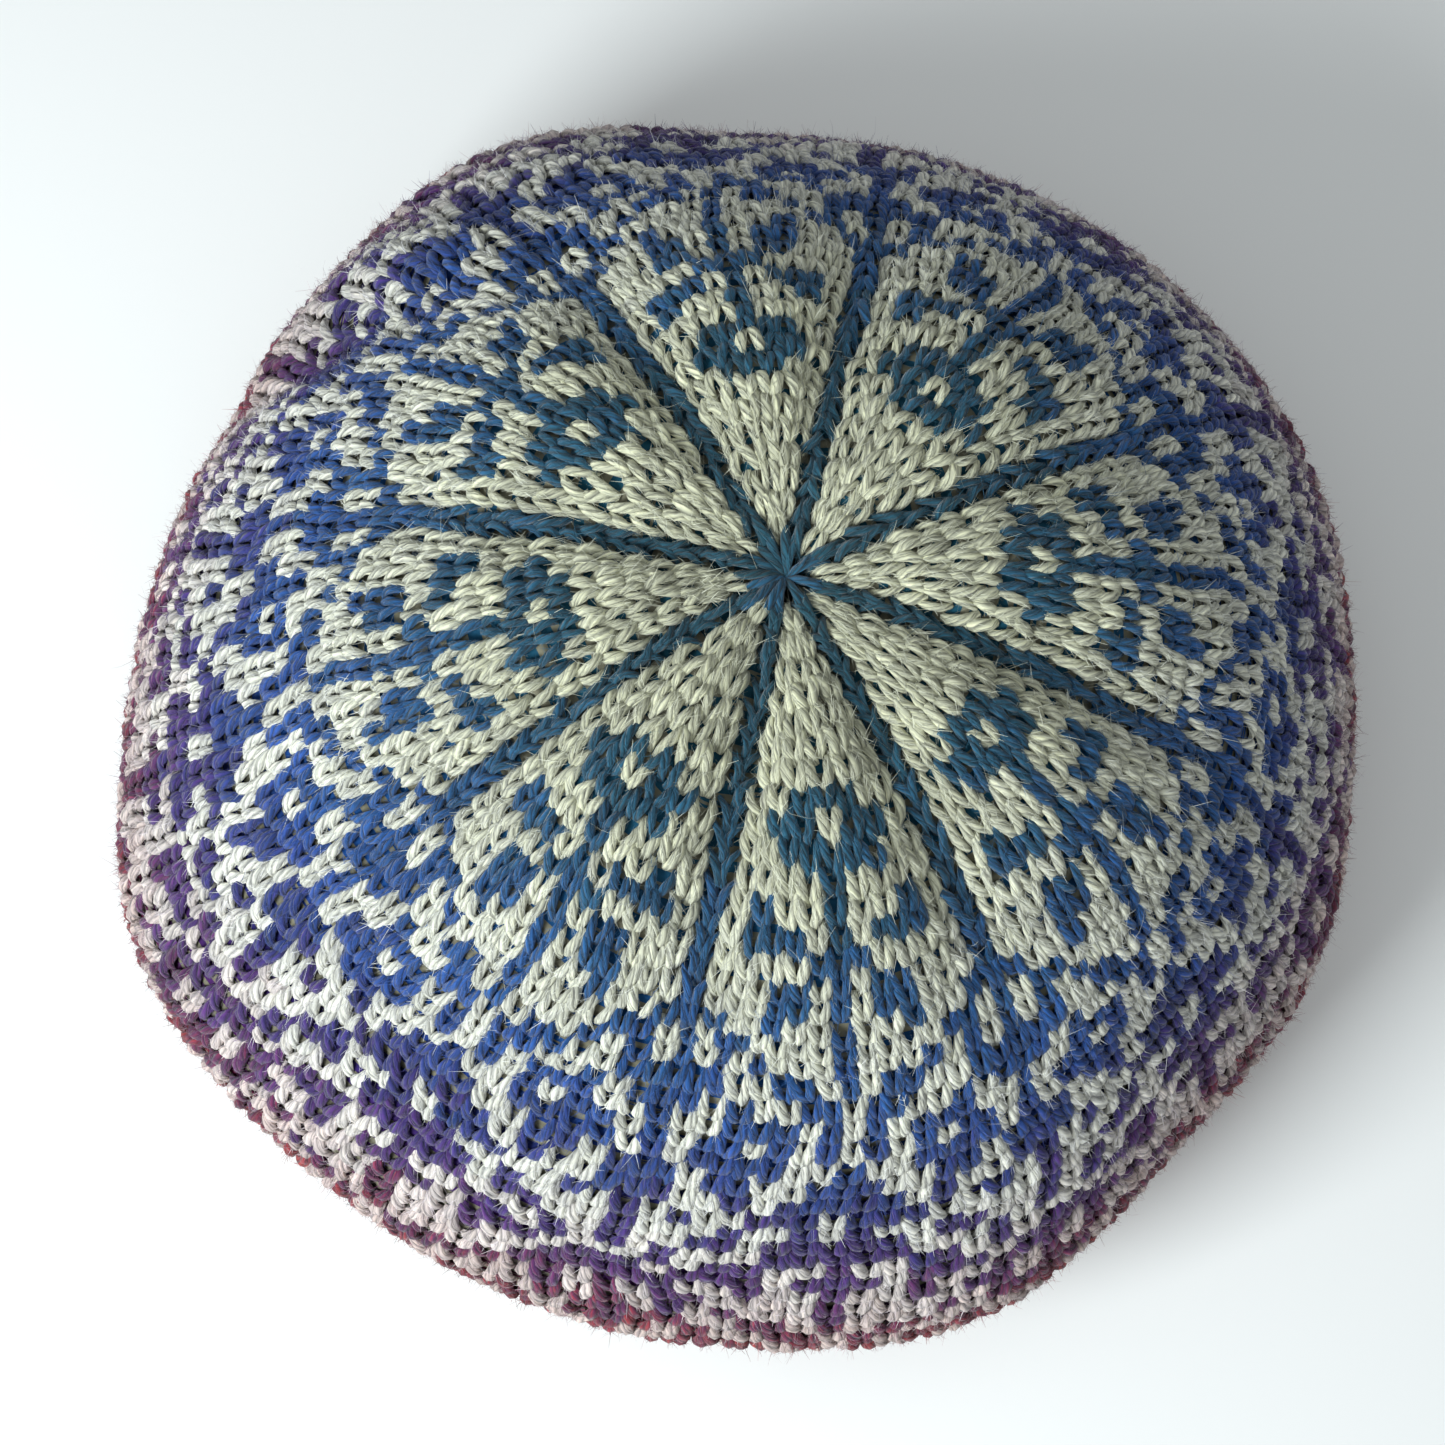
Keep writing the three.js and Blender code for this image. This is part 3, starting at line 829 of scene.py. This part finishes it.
def knit_round(yarns, number):
    """All the stitches of one round, wedge by wedge, and then those at the spines."""
    columns, width = columns_of_round(number)
    turns, coloured = [], []
    for wedge in range(WEDGES):
        for column in columns:
            turns.append(wedge + 0.5 + column * width)
            coloured.append(is_coloured(number, column))
    rounds_in_row = row_place(number + 0.5) - row_place(number - 0.5)
    row_height = round_height(row_place(number)) * rounds_in_row
    leg_length = LEG_BEYOND_ROW + LEG_PER_ROW * row_height
    radius = min(max(YARN_PER_WIDTH * stitch_width_mm(number), THINNEST_YARN), THICKEST_YARN)
    plain = (leg_length, PLAIN_SPREAD, radius, PLAIN_RISE)
    widths = np.full(len(turns), width)
    knit_stitches(yarns, np.array(turns), number, widths, np.array(coloured), *plain)
    turns = np.arange(WEDGES, dtype=float)
    widths = np.full(WEDGES, 1 / stitches_in_wedge(number))
    if number <= SPINE_ROUND:
        spine = (SPINE_LENGTH_SHARE * leg_length, SPINE_SPREAD, SPINE_YARN, SPINE_RISE)
        knit_stitches(yarns, turns, number, widths, np.ones(WEDGES, dtype=bool), *spine)
    else:
        coloured = np.full(WEDGES, is_coloured(number, HALF_WEDGE))
        knit_stitches(yarns, turns, number, widths, coloured, *plain)


# %% Knit the pieces
PIECES = (
    # name, first row, last row
    ("crown_knit", 2, 18),
    ("body_knit_upper", 19, 29),
    ("body_knit_side", 30, 40),
    ("body_knit_under", 41, LAST_ROW),
)
knit_pieces = {}
knit_yarns = {}
for name, first, last in PIECES:
    yarns = Yarns()
    for number in range(first, last + 1):
        knit_round(yarns, number)
    knit_yarns[name] = yarns
    knit_pieces[name] = yarn_object(name, yarns)
    print(name, "legs:", yarns.count())

# %% [markdown]
# ## The drawn-up centre
#
# The last stitches are threaded on the yarn's end and pulled tight. What shows is a star of
# short legs of yarn that meet in the middle, two from each wedge, made with the same gutters.

# %% A star of yarn
PETALS = 2 * WEDGES
STAR_REACH = 1.8
STAR_REACH_STRAY = 0.2
STAR_MIDDLE = 0.06
STAR_LIFT = 0.1
STAR_TURN_STRAY = 0.05
STAR_BEND = 0.1
STAR_YARN = 0.85
STAR_THIN_END = 0.55
STAR_RUN = 8
STAR_RUN_STRAY = 5
STAR_LAST_RUN = 12
STAR_SHADE_RANGE = 0.25


def centre_star():
    """Sixteen short legs from the first stitches of the wedges to the crown centre."""
    yarns = Yarns()
    turns = np.arange(PETALS) / 2 + 0.25 + STAR_TURN_STRAY * rng.standard_normal(PETALS)
    s = LEG_PLACES[None, :]
    ends = (STAR_REACH + STAR_REACH_STRAY * rng.standard_normal(PETALS))[:, None]
    rounds = ends + (STAR_MIDDLE - ends) * s
    normals = cloth_normal(turns[:, None], rounds)
    lift = STAR_LIFT + arch(s) * uneven(PETALS, RISE_STRAY)[:, None]
    bend = turns[:, None] + STAR_BEND * arch(s, 1) * rng.standard_normal((PETALS, 1))
    centres = cloth_point(bend, rounds) + normals * lift[:, :, None]
    taper = STAR_THIN_END + (1 - STAR_THIN_END) * arch(s**0.8, TAPER_FULLNESS)
    radii = STAR_YARN * uneven(PETALS, YARN_STRAY)[:, None] * taper
    run = np.clip(STAR_RUN + STAR_RUN_STRAY * rng.standard_normal(PETALS), 0, STAR_LAST_RUN)
    shade = 1 - STAR_SHADE_RANGE * rng.random(PETALS)
    yarns.add(centres, normals, radii, run, shade, np.ones(PETALS, dtype=bool))
    return yarns


centre_star_piece = yarn_object("centre_star", centre_star())

# %% [markdown]
# ## The ribbed edge
#
# Two knit and two purl stitches alternate round the edge. Knit columns stand out as chains of V
# stitches, purl columns sink between them and show as short bars, and on the inside they change
# places. The edge is hidden under the rim in the main view, but it is what the hat stands on. A
# ring with a bump would do for that view, but the band shows from the side, so it is knitted too.

# %% The band's faces
RIB_STITCHES = 128
RIB_REPEAT = 4
RIB_ROWS = 7
RIB_ROW_HEIGHT = BAND_HEIGHT / RIB_ROWS
RIB_RUN = 52.0


def band_face_radius(columns, heights, outer):
    """The band's outer or inner face, with its ribs."""
    place = np.mod(columns, RIB_REPEAT)
    raised = np.clip(np.minimum(place + 1.0, 2.0 - place), 0, 1) + np.clip(place - 3, 0, 1)
    pull_in = BAND_PULL_IN * (1 - heights / BAND_HEIGHT)
    face = BAND_RADIUS - pull_in - RIB_DEPTH * (1 - np.clip(raised, 0, 1))
    return face if outer else face - BAND_WALL


def band_point(columns, heights, radii):
    """A point by rib column, height and distance from the band's axis."""
    columns, heights, radii = np.broadcast_arrays(columns, heights, radii)
    angles = columns * math.tau / RIB_STITCHES
    return np.stack([radii * np.sin(angles), radii * np.cos(angles), heights], axis=-1)


print("rib column width:", round(math.tau * BAND_RADIUS / RIB_STITCHES, 1), "mm")

# %% Knit the band in red
RIB_YARN = 0.95
RIB_SINK = 0.9
# Lengths and spreads in stitch widths or rows, the rest in millimetres.
KNIT_SPREAD = 0.38
KNIT_LENGTH = 1.5
KNIT_MIDDLE = 0.45
PURL_LENGTH = 1.1
PURL_ARCH = 0.5
PURL_RISE = 0.6
EDGE_LENGTH = 1.5
EDGE_HEIGHT = 0.9
EDGE_CLIMB = 0.9
EDGE_DEPTH = 0.5
EDGE_TURN_IN = 2.2
BAND_TOP_MARGIN = 0.5
RIB_RUN_STRAY = 2


def add_band_yarn(yarns, columns, heights, depth, outer):
    """Legs whose middle lines are given by column, height and depth behind the face."""
    side = 1 if outer else -1
    heights = np.clip(heights, RIB_YARN, BAND_HEIGHT + BAND_TOP_MARGIN)
    radii = band_face_radius(columns, heights, outer) - side * depth
    centres = band_point(columns, heights, radii)
    normals = side * unit(band_point(columns, 0 * heights, 1.0))
    count = len(columns)
    thickness = RIB_YARN * uneven(count, YARN_STRAY)[:, None] * np.ones(RINGS_PER_LEG)
    run = RIB_RUN + RIB_RUN_STRAY * rng.standard_normal(count)
    shade = 1 - SHADE_RANGE * rng.random(count)
    yarns.add(centres, normals, thickness, run, shade, np.ones(count, dtype=bool))


def knit_band():
    """Both faces of the band, and the edge it was cast on with."""
    yarns = Yarns()
    s = LEG_PLACES[None, :]
    number, row = np.meshgrid(np.arange(RIB_STITCHES), np.arange(RIB_ROWS), indexing="ij")
    number, row = number.ravel(), row.ravel()
    middle_height = (row + 0.5) * RIB_ROW_HEIGHT
    for outer in (True, False):
        raised = (number % RIB_REPEAT < 2) if outer else (number % RIB_REPEAT >= 2)
        for side in (-1, 1):
            column = number[raised][:, None] + side * (FOOT_SWAY + KNIT_SPREAD * s**LEAN_POWER)
            climb = (s - KNIT_MIDDLE) * KNIT_LENGTH * RIB_ROW_HEIGHT
            height = middle_height[raised][:, None] + climb
            add_band_yarn(yarns, column, height, RIB_SINK * (1 - arch(s)), outer)
        column = number[~raised][:, None] + (s - 0.5) * PURL_LENGTH
        height = middle_height[~raised][:, None] + PURL_ARCH * arch(s, 1)
        add_band_yarn(yarns, column, height, RIB_SINK - PURL_RISE * arch(s, 1), outer)
    edge = np.arange(RIB_STITCHES)[:, None] + (s - 0.5) * EDGE_LENGTH
    height = EDGE_HEIGHT + EDGE_CLIMB * (s - 0.5)
    add_band_yarn(yarns, edge, height, EDGE_DEPTH + EDGE_TURN_IN * s, True)
    return yarns


band_piece = yarn_object("rib_knit", knit_band())

# %% [markdown]
# ## The inner face
#
# Behind the stitches runs the inner face of the cloth, where the yarn that is not in use is
# carried along. It shows through the holes of the stitches as something dark and soft, and from
# below it is the inside of the hat. Loops could be made for every stitch, at twice the triangles,
# and hardly one would show. One closed shell just under the stitches stands for them. The band
# shows stitches on both faces, so it gets a plain red core between them instead.

# %% The wool behind the stitches
# Strands lie one to a round, which is 2 to 3 mm, and patches of one yarn are a third as tall.
CARRIED_DEPTH = 0.6 * MM
PATCH_SCALE = 3.0
STRAND_SHARE = 0.2
# Painted shade: the carried strands keep this share of their colour.
CARRIED_PAINTED_SHADE = 0.8


def carried_yarn():
    """Both yarns lying side by side behind the stitches, darkened by painted shade."""
    material, tree, shader = new_material("carried wool strands")
    uv = add_node(tree, "ShaderNodeUVMap", {"uv_map": "yarn"}).outputs["UV"]
    split = add_node(tree, "ShaderNodeSeparateXYZ", inputs={"Vector": uv})
    angle = add_node(tree, MATHS, MULTIPLY, {0: split.outputs["Y"], 1: math.tau}).outputs[0]
    strand = add_node(tree, MATHS, {"operation": "SINE"}, {0: angle}).outputs[0]
    patch = add_node(
        tree, "ShaderNodeTexNoise", inputs={"Vector": uv, "Scale": PATCH_SCALE, "Detail": 1.0}
    ).outputs["Fac"]
    ripple = add_node(tree, MATHS, MULTIPLY, {0: strand, 1: STRAND_SHARE}).outputs[0]
    level = add_node(tree, MATHS, ADD, {0: patch, 1: ripple}).outputs[0]
    is_cream = add_node(tree, MATHS, {"operation": "GREATER_THAN"}, {0: level, 1: 0.5}).outputs[0]
    dyed = run_colour(tree, knitted_round(tree), DYE_RUN)
    # 8a8672 is the cream yarn with painted shade.
    inputs = {MIX_SHARE: is_cream, MIX_FIRST: dyed, MIX_SECOND: linear("#8a8672")}
    both = add_node(tree, "ShaderNodeMix", {"data_type": "RGBA"}, inputs).outputs[MIX_RESULT]
    dark = add_node(
        tree, "ShaderNodeVectorMath", {"operation": "SCALE"}, {0: both, "Scale": CARRIED_PAINTED_SHADE}
    ).outputs["Vector"]
    bump = add_node(
        tree,
        "ShaderNodeBump",
        inputs={"Strength": 0.8, "Distance": CARRIED_DEPTH, "Height": strand},
    ).outputs["Normal"]
    tree.links.new(dark, shader.inputs["Base Color"])
    tree.links.new(bump, shader.inputs["Normal"])
    shader.inputs["Roughness"].default_value = 0.95
    shader.inputs["Specular IOR Level"].default_value = 0.1
    return material


# Strands of both yarns, loose and out of the light: painted shade makes them duller and darker
# than the stitches in front, so the holes between the stitches read as deep.
CARRIED_YARN = carried_yarn()
print("behind them:", CARRIED_YARN.name)

# %% A shell just under the stitches
SHELL_OUTSIDE = 1.2
SHELL_INSIDE = 2.7
SHELL_ROUNDS = 56
SHELL_COLUMNS = 128
SHELL_FIRST_ROUND = 1.2


def shell_of_floats():
    """The inner face as a closed skin, with the same attributes as the yarn."""
    turns = np.arange(SHELL_COLUMNS) * WEDGES / SHELL_COLUMNS
    rounds = np.linspace(SHELL_FIRST_ROUND, LAST_ROUND - END_MARGIN, SHELL_ROUNDS)
    grid_turns, grid_rounds = np.meshgrid(turns, rounds)
    normals = cloth_normal(grid_turns, grid_rounds)
    surface = cloth_point(grid_turns, grid_rounds)
    outside = surface - normals * SHELL_OUTSIDE
    inside = surface - normals * SHELL_INSIDE
    rings = np.concatenate([outside, inside[::-1]])
    quads = ring_quads(len(rings), SHELL_COLUMNS)
    number = np.concatenate([grid_rounds, grid_rounds[::-1]])
    uv = np.stack([np.concatenate([grid_turns, grid_turns]), number], axis=-1).reshape(-1, 2)
    floats = {"colour_run": number.ravel(), "shade": np.ones(number.size)}
    slots = np.zeros(len(quads))
    points = rings.reshape(-1, 3)
    return mesh_object("inner_face", points, quads, floats, uv, slots, (CARRIED_YARN,))


inner_face = shell_of_floats()

# %% The band's core, which closes the gaps between its stitches
CORE_INSET = 0.9
# Painted shade: the core's wool keeps this share of its brightness, as it lies between the faces.
CORE_PAINTED_SHADE = 0.6
STITCHES_PER_TWIST = 16


def band_core():
    """A plain ribbed ring of the same red wool between the two faces of the band, in painted shade.
    """
    columns = np.arange(RIB_STITCHES)
    levels = np.array([BAND_HEIGHT, BAND_HEIGHT / 2, CORE_INSET])
    grid, heights = np.meshgrid(columns, levels)
    outside = band_point(grid, heights, band_face_radius(grid, heights, True) - CORE_INSET)
    inside = band_point(grid, heights, band_face_radius(grid, heights, False) + CORE_INSET)
    rings = np.concatenate([outside, inside[::-1]])
    quads = ring_quads(len(rings), RIB_STITCHES)
    count = len(rings) * RIB_STITCHES
    around = np.tile(columns / STITCHES_PER_TWIST, len(rings))
    along = np.repeat(np.arange(len(rings)), RIB_STITCHES)
    uv = np.stack([around, along], axis=-1)
    floats = {"colour_run": np.full(count, RIB_RUN), "shade": np.full(count, CORE_PAINTED_SHADE)}
    slots = np.zeros(len(quads))
    return mesh_object("rib_core", rings.reshape(-1, 3), quads, floats, uv, slots, (DYED_WOOL,))


rib_core = band_core()

# %% [markdown]
# ## Loose fibres
#
# Wool is never smooth. Short fibre ends lie along the yarn everywhere and lift a little, which
# makes it matt and blurs the edges of the pattern. A few long ones stand out and curl. Each fibre
# is a thin ribbon that starts on a leg of yarn and has its colour. Hair curves could grow them,
# but ribbons in one mesh need no other tool. Real ones are 0.03 mm thick, and here they are drawn
# two or three times wider, so that they show.

# %% The wool of single fibres
def loose_fibre(name, run, painted_light_gain):
    """Single fibres in their yarn's colour, lightened by painted light."""
    material, tree, shader = new_material(name)
    shade = add_node(tree, "ShaderNodeAttribute", {"attribute_name": "shade"}).outputs["Fac"]
    # The random tone of each fibre, times its painted light.
    light = add_node(tree, MATHS, MULTIPLY, {0: shade, 1: painted_light_gain}).outputs[0]
    own = run_colour(tree, knitted_round(tree), run)
    colour = add_node(
        tree, "ShaderNodeVectorMath", {"operation": "SCALE"}, {0: own, "Scale": light}
    ).outputs["Vector"]
    tree.links.new(colour, shader.inputs["Base Color"])
    shader.inputs["Roughness"].default_value = 0.7
    shader.inputs["IOR"].default_value = 1.54
    return material


# Painted light: a single fibre has no painted groove shade, so it looks paler than the yarn it
# grows from, and a dyed one is painted paler still, for the light that passes through it.
CREAM_FIBRE = loose_fibre("loose cream fibre", CREAM_AND_CROWN_SHADE_RUN, painted_light_gain=1.0)
DYED_FIBRE = loose_fibre("loose dyed fibre", DYE_RUN, painted_light_gain=1.35)
print("fibres:", CREAM_FIBRE.name, "and", DYED_FIBRE.name)

# %% Fibres as thin ribbons
FIBRE_KINDS = (
    # name, points along it, usual length and width in mm, how far it turns off the yarn,
    # lifts and bends
    ("down", 2, 1.6, 0.09, 0.5, 0.4, 0.0),
    ("fibres", 4, 2.6, 0.06, 1.2, 0.6, 0.5),
)
ROOT_ANGLE = 1.6
ROOT_DEPTH = 0.84
LENGTH_SPREAD = 0.4
SHORTEST_SHARE = 0.4
LONGEST_SHARE = 3.0
TIP_NARROWING = 0.7
DARKEST_FIBRE = 0.5
PALEST_FIBRE = 0.9


def fibres_on(name, yarns, count, kind):
    """Thin ribbons that start all over the yarn."""
    _, per_line, usual_length, width, turn_off, lift, curl = kind
    centres, sides, ups, radii = (
        np.concatenate(part) for part in (yarns.centres, yarns.sides, yarns.ups, yarns.radii)
    )
    leg = rng.integers(0, len(centres), count)
    ring = rng.integers(1, RINGS_PER_LEG - 1, count)
    step = centres[leg, ring + 1] - centres[leg, ring]
    side, up = sides[leg, ring], ups[leg, ring]
    angle = rng.uniform(-ROOT_ANGLE, ROOT_ANGLE, (count, 1))
    outward = side * np.sin(angle) + up * np.cos(angle)
    root = centres[leg, ring] + rng.random((count, 1)) * step
    root = root + outward * radii[leg, ring][:, None] * ROOT_DEPTH
    across = unit(np.cross(step, outward))
    either_way = rng.choice((-1.0, 1.0), (count, 1))
    heading = unit(step) * either_way + across * rng.normal(0, turn_off, (count, 1))
    heading = unit(heading + outward * np.abs(rng.normal(0, lift, (count, 1))))
    share = np.clip(rng.lognormal(0, LENGTH_SPREAD, (count, 1)), SHORTEST_SHARE, LONGEST_SHARE)
    length = usual_length * share
    bend = np.cross(heading, outward) * rng.normal(0, curl, (count, 1)) - 0.5 * curl * outward
    s = np.linspace(0, 1, per_line)[None, :, None]
    line = root[:, None] + length[:, :, None] * (heading[:, None] * s + bend[:, None] * s * s)
    half = unit(np.cross(heading, outward))[:, None] * (1 - TIP_NARROWING * s) * width / 2
    points = np.stack([line - half, line + half], axis=2).reshape(-1, 3)
    quads = quad_grid(count, per_line, 2)
    shade = rng.uniform(DARKEST_FIBRE, PALEST_FIBRE, count)
    floats = {
        "colour_run": np.repeat(np.concatenate(yarns.run)[leg], 2 * per_line),
        "shade": np.repeat(shade, 2 * per_line),
    }
    slots = np.repeat(np.concatenate(yarns.coloured)[leg].astype(int), per_line - 1)
    uv = np.zeros((len(points), 2))
    return mesh_object(name, points, quads, floats, uv, slots, (CREAM_FIBRE, DYED_FIBRE))


# %% Grow the fibres
FIBRE_COUNTS = {
    # piece: short ones, long ones
    "crown_knit": (48000, 3000),
    "body_knit_upper": (56000, 3000),
    "body_knit_side": (46000, 2500),
    "body_knit_under": (18000, 1000),
}
fibre_pieces = []
for name, counts in FIBRE_COUNTS.items():
    for count, kind in zip(counts, FIBRE_KINDS):
        fibre_name = name.replace("knit", kind[0])
        fibre_pieces.append(fibres_on(fibre_name, knit_yarns[name], count, kind))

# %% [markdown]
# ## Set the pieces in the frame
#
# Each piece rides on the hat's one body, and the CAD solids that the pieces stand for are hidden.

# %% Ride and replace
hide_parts("crown_wheel")
for name in ("body_knit_upper", "body_knit_side", "body_knit_under"):
    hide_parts("body")
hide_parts("rib_band")
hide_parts("crown_gather")
for piece in (*knit_pieces.values(), *fibre_pieces, inner_face):
    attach(piece, "root")
for piece in (band_piece, rib_core):
    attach(piece, "root")
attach(centre_star_piece, "root")

# %% [markdown]
# ## Floor, light and camera
#
# The hat stands on a plain pale floor. A soft light from the front left, like a window, gives the
# cream its bright side there and leaves the back right in shade. A wide weak one above and a pale
# surround fill the shadows. The camera looks down steeply from the front, so its direction is
# worked out from one angle.

# %% A pale floor
FLOOR_HALF_SIZE = 3.0
CORNERS = ((-1, -1), (1, -1), (1, 1), (-1, 1))
floor_mesh = bpy.data.meshes.new("floor")
floor_corners = [(x * FLOOR_HALF_SIZE, y * FLOOR_HALF_SIZE, 0.0) for x, y in CORNERS]
floor_mesh.from_pydata(floor_corners, [], [(0, 1, 2, 3)])
floor = bpy.data.objects.new("floor", floor_mesh)
bpy.context.scene.collection.objects.link(floor)
# Backdrop paper: matt and nearly white, so it takes soft shadows and throws light under the rim.
paper, _, paper_shader = new_material("matt white backdrop paper")
paper_shader.inputs["Base Color"].default_value = linear("#f4f4f2")
paper_shader.inputs["Roughness"].default_value = 0.9
floor_mesh.materials.append(paper)
print("floor:", 2 * FLOOR_HALF_SIZE, "m wide")

# %% Lights
LIGHTS = (
    # name, place, size in metres, watts, colour
    ("window_light", (-0.44, -0.38, 0.46), 0.3, 6.0, "#f4fcff"),
    ("top_light", (0.0, -0.1, 1.4), 1.0, 1.5, "#eefaff"),
)
LIT_POINT = Vector((0, 0, 0.06))
SURROUND_STRENGTH = 0.48


def soft_light(name, place, size, watts, code):
    """A square area light that looks at the hat."""
    data = bpy.data.lights.new(name, "AREA")
    data.size = size
    data.energy = watts
    data.color = linear(code)[:3]
    light = bpy.data.objects.new(name, data)
    light.location = place
    light.rotation_euler = (LIT_POINT - Vector(place)).to_track_quat("-Z", "Y").to_euler()
    bpy.context.scene.collection.objects.link(light)
    print(name, round((LIT_POINT - Vector(place)).length, 2), "m from the hat")


for row in LIGHTS:
    soft_light(*row)
world = bpy.data.worlds.new("pale surround")
bpy.context.scene.world = world
world.use_nodes = True
surround = world.node_tree.nodes["Background"]
surround.inputs["Color"].default_value = linear("#eef4f7")
surround.inputs["Strength"].default_value = SURROUND_STRENGTH
bpy.context.scene.view_settings.view_transform = "Standard"

# %% Camera
CAMERA_ELEVATION = math.radians(76)
CAMERA_DISTANCE = 560 * MM
FOCAL_LENGTH_PIXELS = 3192.0
IMAGE_WIDTH_PIXELS = 1445
SENSOR_WIDTH = 36.0
AIM_LEFT = 1.6 * MM
AIM_FORWARD = 7.8 * MM
AIM_HEIGHT = 68.1 * MM
target = Vector((band_middle[0] - AIM_LEFT, band_middle[1] - AIM_FORWARD, AIM_HEIGHT))
away = Vector((0, -math.cos(CAMERA_ELEVATION), math.sin(CAMERA_ELEVATION)))
camera_data = bpy.data.cameras.new("camera")
camera_data.sensor_width = SENSOR_WIDTH
camera_data.lens = SENSOR_WIDTH * FOCAL_LENGTH_PIXELS / IMAGE_WIDTH_PIXELS
camera = bpy.data.objects.new("camera", camera_data)
camera.location = target + away * CAMERA_DISTANCE
camera.rotation_euler = (-away).to_track_quat("-Z", "Y").to_euler()
bpy.context.scene.collection.objects.link(camera)
bpy.context.scene.camera = camera
print("lens:", round(camera_data.lens, 1), "mm")
